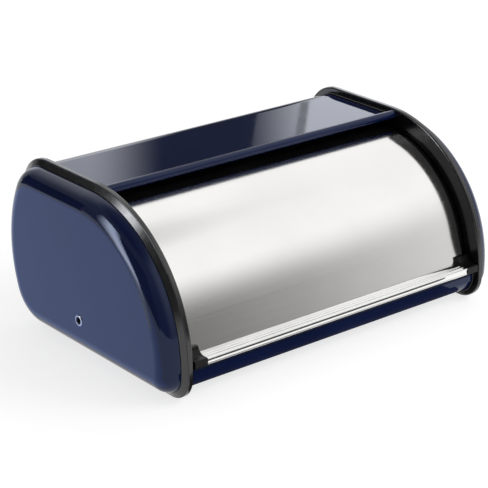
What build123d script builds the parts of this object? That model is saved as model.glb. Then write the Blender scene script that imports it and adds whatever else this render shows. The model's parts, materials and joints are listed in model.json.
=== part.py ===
"""Bread box with a roll-top lid.

Frame: millimetres, +X to the right, +Y to the back, +Z up. The origin is the middle of the
footprint, on the surface that the box stands on. The lid is at the front, towards -Y.
"""
import os
from math import atan2, cos, degrees, radians, sin, sqrt, tan

from build123d import *

os.makedirs("parts", exist_ok=True)

# Overall -------------------------------------------------------------------------------
SHEET = 0.8                     # painted steel and stainless sheet
OVERALL_WIDTH = 419.0           # over the heads of the two pivot rivets
HEIGHT = 175.0                  # over the rims, which the box also stands on
RIVET_HEAD = 0.9
END_FACE = OVERALL_WIDTH / 2 - RIVET_HEAD   # flat face of each domed end
RIM_X = 185.0                   # plane of each rim's crest

# End profile: a chain of tangent arcs in the YZ plane, drawn at the crest of the rims
FRONT_C, FRONT_R = (2.5, 34.0), 141.0
BACK_C, BACK_R = (-6.4, 85.5), 145.0
NOSE_R = 26.5                   # bottom front corner
HEEL_R = 52.0                   # bottom back corner
SHOULDER_R = 43.0               # top back corner

# Rim trim, by distance from the crest plane and by depth inside the crest
BEAD_HALF = 2.8
BEAD_ROUND, BEAD_EDGE = 1.6, 0.8   # inboard and outboard; leaves a 3.2 mm flat along the crest
BEAD_DEPTH = 7.0
FLANK_DEPTH, FLANK_WIDTH = 1.0, 6.5
FLANK_DROP, FLANK_RUN = 5.2, 3.5   # slope of the flank, down to a thin lip over the dome
WALL_DEPTH, WALL_THICK = 22.0, 1.5
LIP_DEPTH, LIP_WIDTH = 5.3, 3.2
LIP_FRONT_Y = 3.0               # the lip over the skin stops here, behind the rolled edge

# Domed ends
DOME_DEPTH = 7.0
DOME_FILLET = 17.5
FIT = 0.05                      # radial clearance of the pivots

# Body sheets, this far inside the crest of the rims
SKIN_DEPTH = 7.0
BODY_HALF = RIM_X - BEAD_HALF
ROLL_C, ROLL_R = (-6.5, 168.5), 4.1   # rolled front edge of the top, to mid-sheet
ROLL_COVE_R = 4.0
ROLL_END = 305.0                # degrees, where the roll stops under itself
SEAM_Y, SEAM_LAP = 59.0, 7.0    # riveted seam under the box, and its half width
JOGGLE = 2.0
SEAM_RIVET_R, SEAM_HEAD_R = 2.0, 3.6
SEAM_RIVETS, SEAM_PITCH = 5, 66.0
TRAY_LIP_Z = 31.0
TRAY_LIP_DEPTH = 9.0
TRAY_BEND = 1.4
HEM_HEIGHT = 6.5
VENT_D, VENT_Z, VENT_X, VENT_PITCH = 5.0, 112.0, 95.0, 14.0
BUMPER_X, BUMPER_Y, BUMPER_R = 150.0, -127.0, 4.0

# Lid sheet; its arc shares the centre of the front arc
PIVOT = (4.5, 41.0)
LID_R = 121.0
LID_HALF = 175.7
LID_TOP = 82.3                  # degrees above the front horizontal
LID_TANGENT = 18.0              # below this angle the lid runs straight down
LID_ROLLED = 75.0               # above this angle the sheet is left flat
LID_FOOT_Z = 41.6               # the lid's lower edge, on the handle's ledge
LID_HEM, LID_BEND = 3.0, 1.2    # inward hem along the top edge, and its bend

# Handle and its caps
HANDLE_HALF = 166.0
HANDLE_NOSE_Y, HANDLE_HEEL_Y = -138.1, -119.4
HANDLE_BOTTOM = 34.6
HANDLE_WALL = 1.4
LEDGE_SAG = 0.9
FLANGE_TOP, FLANGE = 54.0, 1.5
CAP_END = 180.4
CAP_PROUD = 0.4
FIN_TOP, FIN_DEPTH = 49.1, 4.1
FIN_COVE = (-126.4, 44.5)       # middle point of the fin's concave edge
FIN_FOOT = 6.0                  # level ledge left in front of the fin
SPIGOT = 6.0

# Lid arms, pivots and rear strip
ARM_NEAR, ARM_FAR = 178.2, 180.2
ARM_FLANGE_X, ARM_FLANGE = 170.0, 1.6
ARM_FROM, ARM_TO = 8.0, 98.0    # degrees covered by the fan
HUB_R, HUB_PAD = 14.0, 1.0
BOSS_R, BOSS_END = 7.0, 206.8
PIN_R, PIN_INNER = 3.25, 174.6
RIVET_HEAD_R = 5.5
RIVET_BORE_R, RIVET_BORE_DEPTH = 2.6, 5.0
RIVET_MOUTH = 1.5               # rounding of the bore's mouth
RETAINER = 1.0
STRIP_FROM = 82.9               # degrees, just behind the lid's hem
STRIP_R, STRIP_THICK = 119.4, 2.4
RIB_R, RIB_THICK = 126.0, 2.0


# Profiles ------------------------------------------------------------------------------
def reach(large, small, rise):
    """Level distance between the centres of two arcs, one inside the other, that touch."""
    return sqrt((large - small) ** 2 - rise ** 2)


def bearing(start, end):
    """Direction from one point to another, in degrees from +Y towards +Z."""
    return degrees(atan2(end[1] - start[1], end[0] - start[0]))


SHOULDER_Z = HEIGHT - SHOULDER_R
NOSE_C = (FRONT_C[0] - reach(FRONT_R, NOSE_R, FRONT_C[1] - NOSE_R), NOSE_R)
HEEL_C = (BACK_C[0] + reach(BACK_R, HEEL_R, BACK_C[1] - HEEL_R), HEEL_R)
SHOULDER_C = (BACK_C[0] + reach(BACK_R, SHOULDER_R, SHOULDER_Z - BACK_C[1]), SHOULDER_Z)
NOSE_A = bearing(FRONT_C, NOSE_C) % 360
HEEL_A = bearing(BACK_C, HEEL_C)
SHOULDER_A = bearing(BACK_C, SHOULDER_C)


def outline(depth, x):
    """The closed end profile, a given depth inside the crest, as a face at x."""
    with BuildSketch(Plane.YZ.offset(x)) as profile:
        with BuildLine():
            Line((NOSE_C[0], depth), (HEEL_C[0], depth))
            CenterArc(HEEL_C, HEEL_R - depth, -90, 90 + HEEL_A)
            CenterArc(BACK_C, BACK_R - depth, HEEL_A, SHOULDER_A - HEEL_A)
            CenterArc(SHOULDER_C, SHOULDER_R - depth, SHOULDER_A, 90 - SHOULDER_A)
            Line((SHOULDER_C[0], HEIGHT - depth), (FRONT_C[0], HEIGHT - depth))
            CenterArc(FRONT_C, FRONT_R - depth, 90, NOSE_A - 90)
            CenterArc(NOSE_C, NOSE_R - depth, NOSE_A, 270 - NOSE_A)
        make_face()
    return profile.sketch


def pivot_face(radius, x):
    """A disc about the lid's axis, at x."""
    with BuildSketch(Plane.YZ.offset(x)) as disc:
        with Locations(PIVOT):
            Circle(radius)
    return disc.sketch


def loop_at(part, x):
    """The edges of a part that lie in the plane at x."""
    return part.edges().filter_by_position(Axis.X, x - 0.01, x + 0.01)


def on_lid(radius, angle):
    """(Y, Z) at a radius and an angle in degrees above the front horizontal."""
    turn = radians(angle)
    return (FRONT_C[0] - radius * cos(turn), FRONT_C[1] + radius * sin(turn))


def lid_line(height, inset):
    """(Y, Z) on the lid's straight lower part, a given distance inside its outer face."""
    start = on_lid(LID_R, LID_TANGENT)
    slope = radians(LID_TANGENT)
    return (start[0] - (start[1] - height) * tan(slope) + inset / cos(slope), height)


def front_angle(height, radius):
    """Angle of the point of a front arc at a height, in degrees from +Y towards +Z."""
    rise = height - FRONT_C[1]
    return bearing((0, 0), (-sqrt(radius ** 2 - rise ** 2), rise)) % 360


def seam_holes():
    """The seam's rivet places, as discs on the ground plane."""
    with BuildSketch(Plane.XY) as holes:
        with Locations((0, SEAM_Y)):
            with GridLocations(SEAM_PITCH, 1, SEAM_RIVETS, 1):
                Circle(SEAM_RIVET_R)
    return holes.sketch


def save(part, name):
    part.label = name
    export_step(part, "parts/" + name + ".step")


# Body shell: top and back in one sheet, with a rolled front edge -------------------------
MID = SKIN_DEPTH + SHEET / 2
COVE_Z = HEIGHT - MID + ROLL_COVE_R
COVE_Y = ROLL_C[0] + reach(ROLL_R, -ROLL_COVE_R, COVE_Z - ROLL_C[1])
COVE_A = bearing((COVE_Y, COVE_Z), ROLL_C) % 360

with BuildPart() as body_shell:
    with BuildSketch(Plane.YZ.offset(-BODY_HALF)):
        with BuildLine():
            Line((SEAM_Y - SEAM_LAP, MID), (HEEL_C[0], MID))
            CenterArc(HEEL_C, HEEL_R - MID, -90, 90 + HEEL_A)
            CenterArc(BACK_C, BACK_R - MID, HEEL_A, SHOULDER_A - HEEL_A)
            CenterArc(SHOULDER_C, SHOULDER_R - MID, SHOULDER_A, 90 - SHOULDER_A)
            Line((SHOULDER_C[0], HEIGHT - MID), (COVE_Y, HEIGHT - MID))
            CenterArc((COVE_Y, COVE_Z), ROLL_COVE_R, 270, COVE_A - 270)
            CenterArc(ROLL_C, ROLL_R, COVE_A - 180, ROLL_END - COVE_A + 180)
        trace(line_width=SHEET)
    extrude(amount=2 * BODY_HALF)
    # Two fields of vent holes through the back
    with BuildSketch(Plane(origin=(0, 100, VENT_Z), x_dir=(-1, 0, 0), z_dir=(0, 1, 0))):
        with Locations((-VENT_X, 0), (VENT_X, 0)):
            with GridLocations(VENT_PITCH, VENT_PITCH, 5, 2):
                Circle(VENT_D / 2)
    extrude(amount=60, mode=Mode.SUBTRACT)
    extrude(seam_holes(), amount=20, mode=Mode.SUBTRACT)
save(body_shell.part, "body_shell")

# Base tray: floor and front upstand in one sheet, lapped over the shell at the seam ------
LAP_Z = MID + SHEET
LAP_Y = SEAM_Y - SEAM_LAP - 1
BEND_Z = TRAY_LIP_Z - SHEET / 2 - TRAY_BEND
UPSTAND_R = FRONT_R - MID
HEM_R = UPSTAND_R + SHEET
HEM_HALF = BODY_HALF - LIP_WIDTH - 0.3
HEM_LOW, HEM_HIGH = front_angle(BEND_Z - HEM_HEIGHT, HEM_R), front_angle(BEND_Z, HEM_R)

with BuildPart() as base_tray:
    with BuildSketch(Plane.YZ.offset(-BODY_HALF)):
        with BuildLine():
            Line((SEAM_Y + SEAM_LAP, LAP_Z), (LAP_Y, LAP_Z))
            Line((LAP_Y, LAP_Z), (LAP_Y - JOGGLE, MID))
            Line((LAP_Y - JOGGLE, MID), (NOSE_C[0], MID))
            CenterArc(NOSE_C, NOSE_R - MID, 270, NOSE_A - 270)
            rise = CenterArc(FRONT_C, UPSTAND_R, NOSE_A, front_angle(BEND_Z, UPSTAND_R) - NOSE_A)
            bend = RadiusArc(rise @ 1, (rise @ 1) + Vector(TRAY_BEND, TRAY_BEND), TRAY_BEND)
            Line(bend @ 1, (bend @ 1) + Vector(TRAY_LIP_DEPTH - TRAY_BEND, 0))
        trace(line_width=SHEET)
    extrude(amount=2 * BODY_HALF)
    # The top of the upstand is hemmed, which makes a flat band along the front
    with BuildSketch(Plane.YZ.offset(-HEM_HALF)):
        with BuildLine():
            CenterArc(FRONT_C, HEM_R, HEM_HIGH, HEM_LOW - HEM_HIGH)
        trace(line_width=SHEET)
    extrude(amount=2 * HEM_HALF)
    extrude(seam_holes(), amount=20, mode=Mode.SUBTRACT)
save(base_tray.part, "base_tray")

# Rivets of the seam: tapered heads inside the box and flat tails under it
with BuildPart() as seam_rivets:
    extrude(seam_holes(), amount=SKIN_DEPTH + 2 * SHEET)
    extrude(seam_holes(), amount=SKIN_DEPTH, mode=Mode.SUBTRACT)
    with Locations((0, SEAM_Y, SKIN_DEPTH + 2 * SHEET)):
        with GridLocations(SEAM_PITCH, 1, SEAM_RIVETS, 1):
            Cone(SEAM_HEAD_R, SEAM_RIVET_R, 1.2, align=(Align.CENTER, Align.CENTER, Align.MIN))
    with Locations((0, SEAM_Y, SKIN_DEPTH)):
        with GridLocations(SEAM_PITCH, 1, SEAM_RIVETS, 1):
            Cylinder(SEAM_HEAD_R, 1.0, align=(Align.CENTER, Align.CENTER, Align.MAX))
save(seam_rivets.part, "seam_rivets")

# Rubber bumpers on the tray's lip, which the closed handle comes down on
with BuildPart() as lid_bumpers:
    with Locations((-BUMPER_X, BUMPER_Y, TRAY_LIP_Z), (BUMPER_X, BUMPER_Y, TRAY_LIP_Z)):
        Cylinder(BUMPER_R, HANDLE_BOTTOM - TRAY_LIP_Z, align=(Align.CENTER, Align.CENTER, Align.MIN))
    fillet(lid_bumpers.edges().group_by(Axis.Z)[-1], 0.8)
save(lid_bumpers.part, "lid_bumpers")


# Ends of the box: each piece is made for one side, -1 left or 1 right ---------------------
def make_rim_trim(side):
    """Black moulded ring: crest bead, outboard flank, inner wall and a lip over the skin."""
    inner, outer, rim_end = RIM_X - BEAD_HALF, RIM_X + BEAD_HALF, RIM_X + FLANK_WIDTH
    with BuildPart() as trim:
        extrude(outline(0, side * inner), amount=side * 2 * BEAD_HALF)
        fillet(loop_at(trim, side * inner), BEAD_ROUND)
        fillet(loop_at(trim, side * outer), BEAD_EDGE)
        extrude(outline(FLANK_DEPTH, side * RIM_X), amount=side * FLANK_WIDTH)
        end_face = trim.faces().sort_by(Axis.X)[-1 if side > 0 else 0]
        chamfer(loop_at(trim, side * rim_end), FLANK_DROP, FLANK_RUN, reference=end_face)
        extrude(outline(LIP_DEPTH, side * RIM_X), amount=-side * (BEAD_HALF + LIP_WIDTH))
        fillet(loop_at(trim, side * (inner - LIP_WIDTH)), 0.8)
        # The lip is cut away across the front opening
        with BuildSketch(Plane.YZ.offset(side * (inner - LIP_WIDTH - 1))):
            with Locations((LIP_FRONT_Y, TRAY_LIP_Z)):
                Rectangle(200, 200, align=(Align.MAX, Align.MIN))
        extrude(amount=side * (LIP_WIDTH + 1), mode=Mode.SUBTRACT)
        # Hollow: the skin's seat inside the bead, and the dome's seat under the flank
        bore = inner - LIP_WIDTH - 1
        extrude(outline(BEAD_DEPTH, side * bore), amount=side * (outer - bore), mode=Mode.SUBTRACT)
        seat = outline(DOME_DEPTH - FIT, side * outer)
        extrude(seat, amount=side * FLANK_WIDTH, mode=Mode.SUBTRACT)
    with BuildPart() as wall:
        extrude(outline(BEAD_DEPTH - 1, side * inner), amount=side * WALL_THICK)
        extrude(outline(WALL_DEPTH, side * inner), amount=side * WALL_THICK, mode=Mode.SUBTRACT)
        add(trim.part)
    return wall.part


def make_end_panel(side):
    """Pressed steel end: a shallow dome, open on the inside, with a hole for the pivot."""
    start = RIM_X + BEAD_HALF
    with BuildPart() as hollow:
        extrude(outline(DOME_DEPTH + SHEET, side * start), amount=side * (END_FACE - SHEET - start))
        fillet(loop_at(hollow, side * (END_FACE - SHEET)), DOME_FILLET - SHEET)
    with BuildPart() as panel:
        extrude(outline(DOME_DEPTH, side * start), amount=side * (END_FACE - start))
        fillet(loop_at(panel, side * END_FACE), DOME_FILLET)
        add(hollow.part, mode=Mode.SUBTRACT)
        extrude(pivot_face(PIN_R + FIT, side * (END_FACE - 5)), amount=side * 10, mode=Mode.SUBTRACT)
    return panel.part


def make_rivet(side):
    """Tubular rivet, open at its outer end: the lid's pivot pin."""
    with BuildPart() as rivet:
        extrude(pivot_face(RIVET_HEAD_R, side * END_FACE), amount=side * RIVET_HEAD)
        fillet(loop_at(rivet, side * (END_FACE + RIVET_HEAD)), RIVET_HEAD - 0.2)
        extrude(pivot_face(PIN_R, side * PIN_INNER), amount=side * (END_FACE - PIN_INNER))
        bore = pivot_face(RIVET_BORE_R, side * (END_FACE - RIVET_BORE_DEPTH))
        extrude(bore, amount=side * 10, mode=Mode.SUBTRACT)
        mouth = loop_at(rivet, side * (END_FACE + RIVET_HEAD)).sort_by(SortBy.LENGTH)[0]
        fillet(mouth, RIVET_MOUTH)
    return rivet.part


def make_ring(side, radius, hole, start, end):
    """A flat ring about the lid's axis."""
    with BuildPart() as ring:
        extrude(pivot_face(radius, side * start), amount=side * (end - start))
        extrude(pivot_face(hole, side * start), amount=side * (end - start), mode=Mode.SUBTRACT)
    return ring.part


def make_lid_arm(side):
    """Moulded fan: a plate, a curved flange under the lid's edge, and a long pivot boss."""
    with BuildPart() as arm:
        with BuildSketch(Plane.YZ.offset(side * ARM_NEAR)):
            with BuildLine():
                rim = ThreePointArc(
                    on_lid(LID_R - SHEET, ARM_FROM),
                    on_lid(LID_R - SHEET, (ARM_FROM + ARM_TO) / 2),
                    on_lid(LID_R - SHEET, ARM_TO),
                )
                hub_back = (PIVOT[0] + HUB_R, PIVOT[1])
                hub_front = (PIVOT[0] - HUB_R * sin(radians(20)), PIVOT[1] - HUB_R * cos(radians(20)))
                Line(rim @ 1, hub_back)
                ThreePointArc(hub_back, (PIVOT[0] + 5, PIVOT[1] - sqrt(HUB_R ** 2 - 25)), hub_front)
                Line(hub_front, rim @ 0)
            make_face()
        extrude(amount=side * (ARM_FAR - ARM_NEAR))
        with BuildSketch(Plane.YZ.offset(side * ARM_FLANGE_X)):
            with BuildLine():
                flange_mid = LID_R - SHEET - ARM_FLANGE / 2
                CenterArc(FRONT_C, flange_mid, 180 - LID_ROLLED, LID_ROLLED - LID_TANGENT)
            trace(line_width=ARM_FLANGE)
        extrude(amount=side * (ARM_FAR - ARM_FLANGE_X))
        extrude(pivot_face(HUB_R - 3, side * (ARM_NEAR - HUB_PAD)), amount=side * HUB_PAD)
        extrude(pivot_face(BOSS_R, side * ARM_NEAR), amount=side * (BOSS_END - ARM_NEAR))
        bore = pivot_face(PIN_R + FIT, side * (ARM_NEAR - 5))
        extrude(bore, amount=side * (BOSS_END - ARM_NEAR + 10), mode=Mode.SUBTRACT)
    return arm.part


def make_handle_cap(side):
    """Black end cap of the handle: its nose, a concave fin up the lid, and a spigot."""
    nose, bottom, ledge = HANDLE_NOSE_Y - CAP_PROUD, HANDLE_BOTTOM - CAP_PROUD, LID_FOOT_Z + CAP_PROUD
    fin, foot = lid_line(FIN_TOP, 0), lid_line(LID_FOOT_Z, 0)
    with BuildPart() as cap:
        with BuildSketch(Plane.YZ.offset(side * HANDLE_HALF)):
            with BuildLine():
                Polyline(
                    (fin[0] - FIN_DEPTH, FIN_TOP),
                    fin,
                    foot,
                    (HANDLE_HEEL_Y, LID_FOOT_Z),
                    (HANDLE_HEEL_Y, bottom),
                    (nose, bottom),
                    (nose, ledge),
                    (nose + FIN_FOOT, ledge),
                )
                ThreePointArc((nose + FIN_FOOT, ledge), FIN_COVE, (fin[0] - FIN_DEPTH, FIN_TOP))
            make_face()
        extrude(amount=side * (CAP_END - HANDLE_HALF))
        nose_edges = cap.edges().filter_by(Axis.X).group_by(Axis.Y)[0]
        fillet(nose_edges, 1.4)
        with BuildSketch(Plane.YZ.offset(side * HANDLE_HALF)):
            middle = ((HANDLE_NOSE_Y + HANDLE_HEEL_Y) / 2, (HANDLE_BOTTOM + LID_FOOT_Z - LEDGE_SAG) / 2)
            with Locations(middle):
                Rectangle(15, 2.8)
        extrude(amount=-side * SPIGOT)
    return cap.part


for word, side in (("left", -1), ("right", 1)):
    save(make_rim_trim(side), word + "_rim_trim")
    save(make_end_panel(side), word + "_end_panel")
    save(make_rivet(side), word + "_pivot_rivet")
    save(make_ring(side, BOSS_R + 1.5, PIN_R + FIT, BOSS_END + 0.1, END_FACE - SHEET), word + "_pivot_washer")
    save(make_ring(side, BOSS_R, PIN_R, PIN_INNER + 0.8, PIN_INNER + 0.8 + RETAINER), word + "_pivot_retainer")
    save(make_lid_arm(side), word + "_lid_arm")
    save(make_handle_cap(side), word + "_handle_cap")

# Lid: one curved stainless sheet, hemmed along its top edge -------------------------------
LID_MID = LID_R - SHEET / 2
LID_LIFT = SHEET * sin(radians(LID_TANGENT)) / 2   # its slanting end stands on one corner
LID_FLAT = LID_MID * tan(radians(LID_TOP - LID_ROLLED))
with BuildPart() as lid_sheet:
    with BuildSketch(Plane.YZ.offset(-LID_HALF)):
        with BuildLine():
            Line(lid_line(LID_FOOT_Z + LID_LIFT, SHEET / 2), on_lid(LID_MID, LID_TANGENT))
            arch = CenterArc(FRONT_C, LID_MID, 180 - LID_TANGENT, LID_TANGENT - LID_ROLLED)
            flat = Line(arch @ 1, (arch @ 1) + (arch % 1) * (LID_FLAT - LID_BEND))
            turn = JernArc(flat @ 1, flat % 1, LID_BEND, -90)
            Line(turn @ 1, (turn @ 1) + (turn % 1) * (LID_HEM - LID_BEND))
        trace(line_width=SHEET)
    extrude(amount=2 * LID_HALF)
save(lid_sheet.part, "lid_sheet")

# Rear strip: a black extrusion behind the lid's top edge, with an upright rib --------------
STRIP_HALF = ARM_NEAR
RIB_ANGLE = ARM_TO - 0.5
with BuildPart() as lid_rear_strip:
    with BuildSketch(Plane.YZ.offset(-STRIP_HALF)):
        with BuildLine():
            CenterArc(FRONT_C, STRIP_R, 180 - STRIP_FROM, STRIP_FROM - ARM_TO)
        trace(line_width=STRIP_THICK)
        with BuildLine():
            Line(on_lid(STRIP_R, RIB_ANGLE), on_lid(RIB_R, RIB_ANGLE))
        trace(line_width=RIB_THICK)
    extrude(amount=2 * STRIP_HALF)
save(lid_rear_strip.part, "lid_rear_strip")

# Handle: a hollow ledge, with a flange that lies against the back of the lid ---------------
NOSE_TOP = (HANDLE_NOSE_Y + 0.4, LID_FOOT_Z)
LEDGE_BACK = lid_line(LID_FOOT_Z, SHEET)
with BuildPart() as lid_handle:
    with BuildSketch(Plane.YZ.offset(-HANDLE_HALF)):
        with BuildLine():
            Polyline(
                LEDGE_BACK,
                lid_line(FLANGE_TOP, SHEET),
                lid_line(FLANGE_TOP, SHEET + FLANGE),
                (HANDLE_HEEL_Y, LID_FOOT_Z + 1.5),
                (HANDLE_HEEL_Y, HANDLE_BOTTOM),
                (HANDLE_NOSE_Y, HANDLE_BOTTOM),
                NOSE_TOP,
            )
            ledge_mid = ((NOSE_TOP[0] + LEDGE_BACK[0]) / 2, LID_FOOT_Z - LEDGE_SAG)
            ThreePointArc(NOSE_TOP, ledge_mid, LEDGE_BACK)
        make_face()
        with BuildLine():
            low, high = HANDLE_BOTTOM + HANDLE_WALL, LID_FOOT_Z - LEDGE_SAG - HANDLE_WALL
            Polyline(
                (HANDLE_NOSE_Y + HANDLE_WALL, low),
                (HANDLE_HEEL_Y - HANDLE_WALL, low),
                (HANDLE_HEEL_Y - HANDLE_WALL, high),
                (HANDLE_NOSE_Y + HANDLE_WALL + 0.2, high),
                close=True,
            )
        make_face(mode=Mode.SUBTRACT)
    extrude(amount=2 * HANDLE_HALF)
    nose_edges = lid_handle.edges().filter_by(Axis.X).group_by(Axis.Y)
    fillet(nose_edges[0] + nose_edges[1], 0.9)
save(lid_handle.part, "lid_handle")
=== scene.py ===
"""Bread box with a roll-top lid: the looks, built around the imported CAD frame.

Metres, in the frame's own axes: +X to the right, +Y to the back, +Z up.
"""

import json
from math import cos, radians, sin, tan

import bpy
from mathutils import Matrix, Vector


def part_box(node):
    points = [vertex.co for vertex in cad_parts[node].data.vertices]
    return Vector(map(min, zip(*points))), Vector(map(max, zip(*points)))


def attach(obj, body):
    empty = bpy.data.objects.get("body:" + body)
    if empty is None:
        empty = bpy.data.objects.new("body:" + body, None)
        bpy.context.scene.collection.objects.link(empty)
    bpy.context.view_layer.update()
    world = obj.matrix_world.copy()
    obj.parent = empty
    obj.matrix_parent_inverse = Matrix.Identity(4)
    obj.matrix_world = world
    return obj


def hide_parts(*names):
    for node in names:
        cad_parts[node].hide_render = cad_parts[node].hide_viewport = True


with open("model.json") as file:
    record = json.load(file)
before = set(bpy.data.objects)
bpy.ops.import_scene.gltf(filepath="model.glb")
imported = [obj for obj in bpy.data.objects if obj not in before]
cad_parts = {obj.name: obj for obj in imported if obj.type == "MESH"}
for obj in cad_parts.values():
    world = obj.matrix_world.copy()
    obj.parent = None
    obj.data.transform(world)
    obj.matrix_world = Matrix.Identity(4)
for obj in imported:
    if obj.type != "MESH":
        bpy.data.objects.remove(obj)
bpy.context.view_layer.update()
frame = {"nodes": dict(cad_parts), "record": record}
MM = 0.001
RIVET_LOW, RIVET_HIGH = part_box("left_pivot_rivet")
PIVOT_Y = (RIVET_LOW[1] + RIVET_HIGH[1]) / 2
PIVOT_Z = (RIVET_LOW[2] + RIVET_HIGH[2]) / 2


# Rivets: painted shade in the mouth of the bore, by distance from the lid's axis
PAINTED_SHADE_RADIUS, PAINTED_SHADE_EDGE = 3.6 * MM, 4.4 * MM

# Handle rail
LID_LEAN = tan(radians(18))        # of the lid's straight foot, along Y for each unit of Z
LID_GAP = 0.85 * MM                # from the lid's front face to the flange behind it
FLANGE = 1.6 * MM
COVE = ((0.10, 0.55), (0.20, 0.85), (0.30, 0.95), (0.36, 0.90))   # share of the ledge, sag in mm
RIBS = (0.42, 0.66)                # share of the ledge
RIB_R, RIB_HEIGHT, RIB_SAG = 0.60 * MM, 0.90 * MM, 0.92 * MM
LEDGE_END, LEDGE_SAG = 0.80, 0.85 * MM
BEAD_R = 1.0 * MM
FRONT_HOLLOW = ((1.1, 0.42), (0.0, 0.50), (-1.1, 0.42))           # height and inset in mm
HEEL_RISE = 1.5 * MM

# Studio
FLOOR_HALF = 30.0
BACK_Y = 1.5                       # plane of the cards behind the box
COOL = (0.93, 0.95, 1.0)
BLUE = (0.76, 0.92, 1.45)
DARK = 0.03                        # glow of a black flag


# Node helpers --------------------------------------------------------------------------
class Shader:
    """A new material with a Principled shader, and short calls that add nodes to it."""

    def __init__(self, name):
        self.material = bpy.data.materials.new(name)
        self.material.use_nodes = True
        self.tree = self.material.node_tree
        self.bsdf = self.tree.nodes["Principled BSDF"]
        self.place = self.add("ShaderNodeTexCoord").outputs["Object"]

    def add(self, kind, **settings):
        node = self.tree.nodes.new(kind)
        for key, value in settings.items():
            setattr(node, key, value)
        return node

    def link(self, start, end):
        self.tree.links.new(start, end)

    def set(self, **values):
        """Sets sockets of the shader: base_color=... is the socket Base Color."""
        for key, value in values.items():
            socket = next(s for s in self.bsdf.inputs if s.name.lower() == key.replace("_", " "))
            socket.default_value = value

    def stretched(self, scale):
        """The object's own coordinates, scaled separately along each axis."""
        mapping = self.add("ShaderNodeMapping")
        mapping.inputs["Scale"].default_value = scale
        self.link(self.place, mapping.inputs["Vector"])
        return mapping.outputs["Vector"]

    def noise(self, scale, detail=3.0, stretch=None, roughness=0.5):
        node = self.add("ShaderNodeTexNoise")
        node.inputs["Scale"].default_value = scale
        node.inputs["Detail"].default_value = detail
        node.inputs["Roughness"].default_value = roughness
        self.link(self.stretched(stretch) if stretch else self.place, node.inputs["Vector"])
        return node.outputs["Fac"]

    def spread(self, value, low, high):
        """Maps a noise's middle range to low..high."""
        node = self.add("ShaderNodeMapRange")
        node.inputs["From Min"].default_value = 0.3
        node.inputs["From Max"].default_value = 0.7
        node.inputs["To Min"].default_value = low
        node.inputs["To Max"].default_value = high
        self.link(value, node.inputs["Value"])
        return node.outputs["Result"]

    def tint(self, value, dark, light):
        """A colour that varies between two with a noise."""
        node = self.add("ShaderNodeValToRGB")
        node.color_ramp.elements[0].position = 0.35
        node.color_ramp.elements[1].position = 0.65
        node.color_ramp.elements[0].color = (*dark, 1)
        node.color_ramp.elements[1].color = (*light, 1)
        self.link(value, node.inputs["Fac"])
        self.link(node.outputs["Color"], self.bsdf.inputs["Base Color"])

    def rough(self, value, low, high):
        self.link(self.spread(value, low, high), self.bsdf.inputs["Roughness"])

    def bump(self, height, depth):
        """Relief of a given depth in metres."""
        node = self.add("ShaderNodeBump")
        node.inputs["Distance"].default_value = depth
        self.link(height, node.inputs["Height"])
        self.link(node.outputs["Normal"], self.bsdf.inputs["Normal"])


# Materials -----------------------------------------------------------------------------
def navy_paint():
    """Gloss enamel: slight orange peel, and small changes of depth in the colour."""
    m = Shader("navy_enamel")
    m.set(specular_ior_level=0.40, specular_tint=(0.66, 0.76, 1.0, 1))
    m.tint(m.noise(14.0), (0.0026, 0.0066, 0.036), (0.0038, 0.0088, 0.046))
    m.rough(m.noise(60.0, 4.0), 0.035, 0.060)
    m.bump(m.noise(420.0, 2.0), 0.0000035)
    return m.material


def rim_plastic():
    """Satin black moulding, with a fine moulded grain."""
    m = Shader("rim_moulding")
    m.set(specular_ior_level=0.8)
    m.tint(m.noise(40.0), (0.0026, 0.0026, 0.0028), (0.0046, 0.0045, 0.0047))
    m.rough(m.noise(180.0, 4.0), 0.15, 0.22)
    m.bump(m.noise(2200.0, 3.0), 0.000012)
    return m.material


def black_plastic():
    """Moulded black plastic with a spark-eroded grain."""
    m = Shader("black_moulding")
    m.set(specular_ior_level=0.22)
    m.tint(m.noise(50.0), (0.0032, 0.0032, 0.0032), (0.0060, 0.0060, 0.0060))
    m.rough(m.noise(160.0, 4.0), 0.28, 0.40)
    m.bump(m.noise(1800.0, 4.0), 0.00002)
    return m.material


def stainless():
    """Bright rolled stainless: faint lines along the sheet and a soft, slightly blurred mirror."""
    m = Shader("rolled_stainless")
    m.set(metallic=1.0, anisotropic=0.35)
    lines = m.noise(700.0, 3.0, stretch=(0.012, 1.0, 1.0))
    m.tint(m.noise(9.0), (0.80, 0.79, 0.775), (0.84, 0.83, 0.815))
    m.rough(lines, 0.10, 0.15)
    m.bump(lines, 0.0000012)
    return m.material


def rail_chrome():
    """Polished extrusion, nearly a mirror."""
    m = Shader("polished_rail")
    m.set(metallic=1.0)
    m.tint(m.noise(30.0), (0.84, 0.84, 0.83), (0.90, 0.90, 0.89))
    m.rough(m.noise(220.0, 4.0), 0.03, 0.07)
    return m.material


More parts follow.
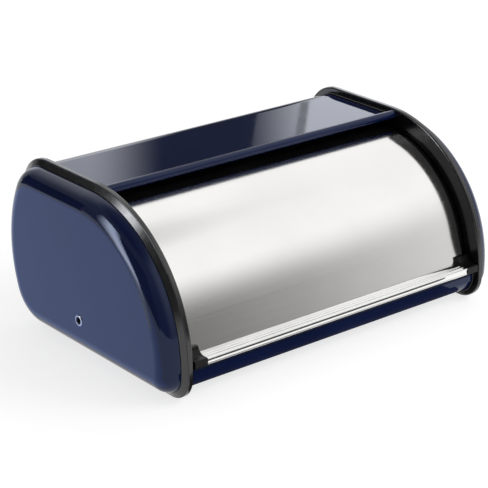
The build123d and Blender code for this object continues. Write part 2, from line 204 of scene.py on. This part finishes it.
def rivet_chrome():
    """Plated rivet, with painted shade in the mouth of its bore: the base colour goes near-black towards
    the axis.
    """
    m = Shader("plated_rivet_shaded_mouth")
    m.set(metallic=1.0)
    split = m.add("ShaderNodeSeparateXYZ")
    flat = m.add("ShaderNodeCombineXYZ")
    away = m.add("ShaderNodeVectorMath", operation="DISTANCE")
    away.inputs[1].default_value = (0, PIVOT_Y, PIVOT_Z)
    m.link(m.place, split.inputs["Vector"])
    m.link(split.outputs["Y"], flat.inputs["Y"])
    m.link(split.outputs["Z"], flat.inputs["Z"])
    m.link(flat.outputs["Vector"], away.inputs[0])
    ring = m.add("ShaderNodeMapRange")
    ring.inputs["From Min"].default_value = PAINTED_SHADE_RADIUS
    ring.inputs["From Max"].default_value = PAINTED_SHADE_EDGE
    m.link(away.outputs["Value"], ring.inputs["Value"])
    # painted shade: near-black base colour inside the bore mouth, fading out to plain plated grey
    shade = m.add("ShaderNodeValToRGB")
    shade.color_ramp.elements[0].color = (0.03, 0.03, 0.03, 1)
    shade.color_ramp.elements[1].color = (0.36, 0.36, 0.37, 1)
    m.link(ring.outputs["Result"], shade.inputs["Fac"])
    m.link(shade.outputs["Color"], m.bsdf.inputs["Base Color"])
    m.rough(m.noise(220.0, 4.0), 0.18, 0.28)
    return m.material


def alloy():
    """Bare rivet alloy, slightly dulled."""
    m = Shader("bare_alloy")
    m.set(metallic=1.0)
    m.tint(m.noise(90.0), (0.52, 0.52, 0.53), (0.66, 0.66, 0.67))
    m.rough(m.noise(400.0, 4.0), 0.28, 0.42)
    m.bump(m.noise(1500.0), 0.00001)
    return m.material


def nylon():
    """Natural nylon, off-white and waxy."""
    m = Shader("natural_nylon")
    m.set(subsurface_weight=0.2)
    m.tint(m.noise(120.0), (0.62, 0.60, 0.54), (0.70, 0.68, 0.62))
    m.rough(m.noise(300.0), 0.38, 0.5)
    return m.material


def rubber():
    """Matt black rubber."""
    m = Shader("soft_rubber")
    m.tint(m.noise(150.0), (0.014, 0.014, 0.014), (0.026, 0.026, 0.026))
    m.rough(m.noise(500.0, 4.0), 0.62, 0.8)
    m.bump(m.noise(2500.0, 4.0), 0.00003)
    return m.material


MATERIALS = {
    "navy_paint": navy_paint(),
    "rim_plastic": rim_plastic(),
    "black_plastic": black_plastic(),
    "stainless_sheet": stainless(),
    "handle_chrome": rail_chrome(),
    "rivet_chrome": rivet_chrome(),
    "rivet_alloy": alloy(),
    "washer_nylon": nylon(),
    "bumper_rubber": rubber(),
}
SLOTS = {part["node"]: part["material_slot"] for part in frame["record"]["subparts"]}

for name, node in frame["nodes"].items():
    for place in node.material_slots:
        place.material = MATERIALS[SLOTS[name]]


# Handle rail ---------------------------------------------------------------------------
def arc(centre, width, height, start, end, step):
    """Points of an arc or part of an ellipse, by angle in degrees from +Y towards +Z."""
    turns = [radians(turn) for turn in range(start, end + 1, step)]
    return [(centre[0] + width * cos(turn), centre[1] + height * sin(turn)) for turn in turns]


def rail_profile():
    """(Y, Z) round the rail: a coved ledge with two ribs, a beaded front and a tall flange."""
    low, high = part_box("lid_handle")
    lid_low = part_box("lid_sheet")[0]
    front, bottom, top = low[1], low[2], high[2]
    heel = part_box("left_handle_cap")[1][1]
    crease, ledge = lid_low[1] + LID_GAP, lid_low[2]
    depth = crease - front
    points = [(crease, ledge)]
    points += [(crease - share * depth, ledge - sag * MM) for share, sag in COVE]
    for share in RIBS:
        points += arc((crease - share * depth, ledge - RIB_SAG), RIB_R, RIB_HEIGHT, 0, 180, 20)
    points.append((crease - LEDGE_END * depth, ledge - LEDGE_SAG))
    points += arc((front + BEAD_R, ledge - BEAD_R), BEAD_R, BEAD_R, 70, 190, 15)
    middle = (ledge + bottom) / 2
    points += [(front + inset * MM, middle + height * MM) for height, inset in FRONT_HOLLOW]
    points += arc((front + BEAD_R, bottom + BEAD_R), BEAD_R, BEAD_R, 150, 270, 15)
    points += [(heel, bottom), (heel, ledge + HEEL_RISE)]
    flange_y = crease + LID_LEAN * (top - ledge)
    points += [(flange_y + FLANGE, top), (flange_y, top)]
    return points


def handle_rail():
    """The rail as one swept mesh, in place of the plain CAD extrusion."""
    low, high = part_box("lid_handle")
    ring = rail_profile()
    count = len(ring)
    mesh = bpy.data.meshes.new("lid_handle_rail")
    vertices = [(x, y, z) for x in (low[0], high[0]) for y, z in ring]
    faces = [tuple(range(count - 1, -1, -1)), tuple(range(count, 2 * count))]
    faces += [(i, (i + 1) % count, count + (i + 1) % count, count + i) for i in range(count)]
    mesh.from_pydata(vertices, [], faces)
    mesh.shade_smooth()
    mesh.set_sharp_from_angle(angle=radians(32))
    mesh.materials.append(MATERIALS["handle_chrome"])
    rail = bpy.data.objects.new("lid_handle_rail", mesh)
    bpy.context.scene.collection.objects.link(rail)
    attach(rail, "lid")
    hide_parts("lid_handle")


handle_rail()


# Studio --------------------------------------------------------------------------------
def floor():
    """A plain pale floor."""
    m = Shader("pale_floor")
    m.set(base_color=(0.42, 0.42, 0.42, 1), emission_color=(1, 1, 1, 1), emission_strength=0.74,
          specular_ior_level=0.0)
    m.rough(m.noise(3.0), 0.75, 0.85)
    half = FLOOR_HALF
    corners = [(-half, -half, 0), (half, -half, 0), (half, half, 0), (-half, half, 0)]
    mesh = bpy.data.meshes.new("floor")
    mesh.from_pydata(corners, [], [(0, 1, 2, 3)])
    mesh.materials.append(m.material)
    obj = bpy.data.objects.new("floor", mesh)
    bpy.context.scene.collection.objects.link(obj)


def studio_world():
    """Soft light, brightest halfway up on the right, falling off overhead and to the left."""
    world = bpy.data.worlds.new("studio")
    world.use_nodes = True
    bpy.context.scene.world = world
    tree = world.node_tree
    new, link = tree.nodes.new, tree.links.new
    background = tree.nodes["Background"]
    place = new("ShaderNodeTexCoord")
    split = new("ShaderNodeSeparateXYZ")
    ramp = new("ShaderNodeValToRGB")
    link(place.outputs["Generated"], split.inputs["Vector"])
    link(split.outputs["Z"], ramp.inputs["Fac"])
    stops = ((0.0, 0.52), (0.12, 0.55), (0.25, 0.62), (0.42, 0.78), (0.60, 0.90), (0.80, 0.88),
             (0.90, 0.30), (1.0, 0.18))
    elements = ramp.color_ramp.elements
    for index, (position, level) in enumerate(stops):
        stop = elements[index] if index < 2 else elements.new(position)
        stop.position = position
        stop.color = (level, level, level, 1)
    seen = new("ShaderNodeBackground")
    seen.inputs["Color"].default_value = (1, 1, 1, 1)
    seen.inputs["Strength"].default_value = 1.05
    path = new("ShaderNodeLightPath")
    mix = new("ShaderNodeMixShader")
    link(ramp.outputs["Color"], background.inputs["Color"])
    side = new("ShaderNodeMapRange")   # from the left of the room to the right
    side.interpolation_type = "SMOOTHSTEP"
    side.inputs["From Min"].default_value = -0.45
    side.inputs["From Max"].default_value = 0.15
    side.inputs["To Min"].default_value = 0.38
    side.inputs["To Max"].default_value = 1.25
    link(split.outputs["X"], side.inputs["Value"])
    link(side.outputs["Result"], background.inputs["Strength"])
    link(path.outputs["Is Camera Ray"], mix.inputs["Fac"])
    link(background.outputs["Background"], mix.inputs[1])
    link(seen.outputs["Background"], mix.inputs[2])
    link(mix.outputs["Shader"], tree.nodes["World Output"].inputs["Surface"])


def softbox(name, place, target, size, power):
    """An area light at a place, facing a target."""
    light = bpy.data.lights.new(name, "AREA")
    light.shape = "RECTANGLE"
    light.size, light.size_y = size
    light.energy = power
    obj = bpy.data.objects.new(name, light)
    obj.location = place
    direction = obj.location.copy()
    direction.x, direction.y, direction.z = (target[i] - place[i] for i in range(3))
    obj.rotation_euler = direction.to_track_quat("-Z", "Y").to_euler()
    obj.visible_glossy = False
    bpy.context.scene.collection.objects.link(obj)


def card(name, corners, start, end, tint=(1.0, 1.0, 1.0), soft_top=False):
    """A card seen only in reflections: its glow runs from start to end along X."""
    m = Shader(name)
    m.set(base_color=(0.01, 0.01, 0.01, 1), emission_color=(*tint, 1))
    split = m.add("ShaderNodeSeparateXYZ")
    fade = m.add("ShaderNodeMapRange", interpolation_type="SMOOTHSTEP")
    fade.inputs["To Min"].default_value = start
    fade.inputs["To Max"].default_value = end
    m.link(m.add("ShaderNodeTexCoord").outputs["Generated"], split.inputs["Vector"])
    m.link(split.outputs["X"], fade.inputs["Value"])
    m.link(fade.outputs["Result"], m.bsdf.inputs["Emission Strength"])
    if soft_top:
        thin = m.add("ShaderNodeMapRange", interpolation_type="SMOOTHSTEP")
        thin.inputs["To Min"].default_value = 1.0
        thin.inputs["To Max"].default_value = 0.0
        m.link(split.outputs["Z"], thin.inputs["Value"])
        m.link(thin.outputs["Result"], m.bsdf.inputs["Alpha"])
    m.rough(m.noise(2.0), 0.8, 0.9)
    mesh = bpy.data.meshes.new(name)
    mesh.from_pydata(corners, [], [(0, 1, 2, 3)])
    mesh.materials.append(m.material)
    obj = bpy.data.objects.new(name, mesh)
    obj.visible_camera = False
    obj.visible_diffuse = False
    obj.visible_shadow = False
    bpy.context.scene.collection.objects.link(obj)


def wall(start, end, low, high):
    """Corners of an upright card between two (X, Y) places."""
    return [(*start, low), (*end, low), (*end, high), (*start, high)]


def back_panel(foot, top, low, high):
    """Corners of a card behind the box, from X to X along its foot and along its top."""
    return [(foot[0], BACK_Y, low), (foot[1], BACK_Y, low), (top[1], BACK_Y, high), (top[0], BACK_Y, high)]


def lying(height, *places):
    """Corners of a card that lies flat, just above the floor."""
    return [(x, y, height) for x, y in places]


def studio_cards():
    """Flags and softboxes round the box, which the gloss paint and the lid mirror."""
    # Behind: two softboxes with a black flag between them, on the top panel
    card("softbox_back_left", back_panel((0.10, 0.80), (0.10, 0.80), 0.3, 1.1), 1.6, 1.6, COOL)
    card("blend_back_left", back_panel((0.80, 1.00), (0.80, 1.00), 0.3, 1.1), 1.6, DARK, COOL)
    card("flag_back", back_panel((1.00, 1.34), (1.00, 1.18), 0.3, 1.05), DARK, DARK)
    card("blend_back", back_panel((1.34, 1.46), (1.18, 1.30), 0.3, 1.05), 0.1, 2.4, COOL)
    card("softbox_back", back_panel((1.46, 2.40), (1.30, 2.40), 0.3, 1.3), 2.4, 2.4, COOL)
    # Left: flags round a narrow strip, on the rounded edge of the left end
    card("flag_left", wall((-1.15, 1.10), (-0.55, 1.44), 0.0, 0.75), DARK, DARK)
    card("flag_front_left", wall((-1.70, 0.44), (-1.55, -0.75), 0.0, 1.2), 0.10, 0.10)
    card("strip_left_far", wall((-1.76, 0.26), (-1.56, 0.62), 0.0, 1.45), 0.1, 11.0, COOL)
    card("strip_left_near", wall((-1.56, 0.62), (-1.36, 1.00), 0.0, 1.45), 11.0, 0.1, COOL)
    streak = lying(1.0 * MM, (-0.315, 0.035), (-0.365, -0.015), (-1.66, 0.50), (-1.44, 0.90))
    card("streak_floor", streak, 9.0, 1.4, COOL)
    # On the floor: a blue fill beside the left end, and a dark card along the foot of the front that is a
    # painted contact shadow, seen only in reflections
    fill = lying(0.5 * MM, (-0.62, -0.10), (-0.213, -0.135), (-0.213, 0.62), (-0.62, 0.62))
    card("fill_left", fill, 1.15, 1.15, BLUE)
    # painted shadow: a dark card where the floor's contact shadow by the front foot falls, so reflections
    # show it
    foot = lying(1.0 * MM, (-0.178, -0.185), (0.178, -0.185), (0.178, -0.10), (-0.178, -0.10))
    card("painted_foot_shadow", foot, 0.04, 0.06)
    # In front: a grey card that darkens the foot of the lid towards the left
    card("grey_front", wall((0.25, -1.0), (1.25, -1.0), 0.0, 1.0), 0.08, 0.88, soft_top=True)


def camera():
    """A long lens, from the front left and above."""
    data = bpy.data.cameras.new("camera")
    data.lens, data.sensor_width = 133.8, 36.0
    data.clip_start, data.clip_end = 0.05, 200.0
    obj = bpy.data.objects.new("camera", data)
    obj.location = (-1.0713, -1.3040, 0.7454)
    obj.rotation_euler = (radians(90 - 21.89), 0, radians(-39.09))
    bpy.context.scene.collection.objects.link(obj)
    bpy.context.scene.camera = obj


floor()
studio_world()
studio_cards()
softbox("key", (1.3, -1.2, 1.6), (0.0, 0.0, 0.1), (1.2, 1.2), 14)
camera()
bpy.context.scene.view_settings.view_transform = "Standard"
